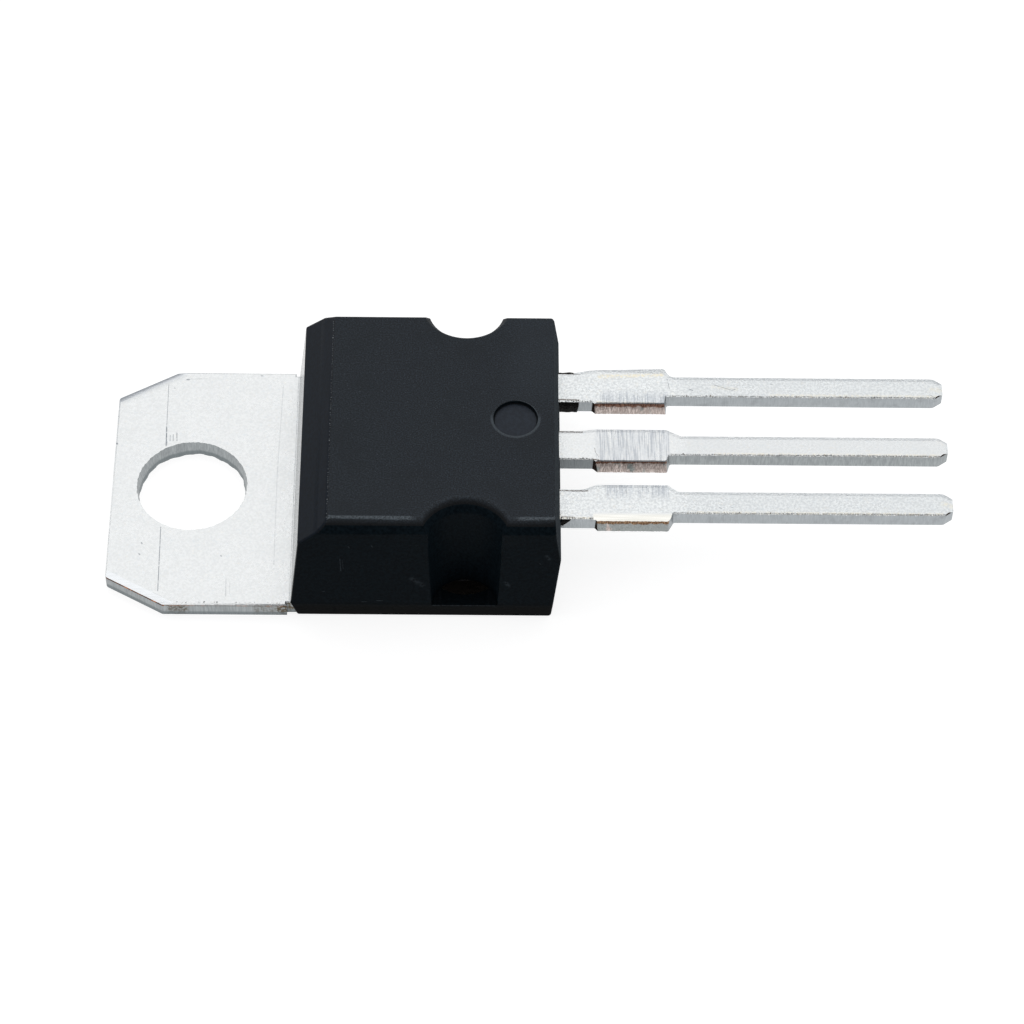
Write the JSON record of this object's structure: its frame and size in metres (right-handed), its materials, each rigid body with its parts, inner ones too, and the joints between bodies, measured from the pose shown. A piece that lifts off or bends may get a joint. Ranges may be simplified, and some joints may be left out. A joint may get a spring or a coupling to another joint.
{
  "type": "p-channel mosfet",
  "caption": "Power transistor in a moulded through-hole package: bare metal tab with a mounting hole, black epoxy body and a row of straight tinned leads.",
  "frame": {"origin": "on the axis of the mounting hole, in the back face of the metal tab", "axes": "+X runs from the tab out along the leads, +Y points to the source lead's side, +Z comes out of the front face of the body"},
  "size_m": [0.0286, 0.01, 0.0045],
  "materials": {
    "tinned_copper": "satin tin plate over stamped copper",
    "solder": "reflowed soft solder, dull",
    "silicon": "metallised silicon chip, smooth",
    "bond_wire": "drawn aluminium wire, bright",
    "epoxy": "black transfer-moulded epoxy with a fine spark-eroded texture"
  },
  "bodies": {
    "root": {"drain_frame": "tinned_copper", "gate_lead": "tinned_copper", "source_lead": "tinned_copper", "die_solder": "solder", "mosfet_die": "silicon", "source_wire_inner": "bond_wire", "source_wire_outer": "bond_wire", "gate_wire": "bond_wire", "moulded_body": "epoxy"}
  },
  "joints": []
}
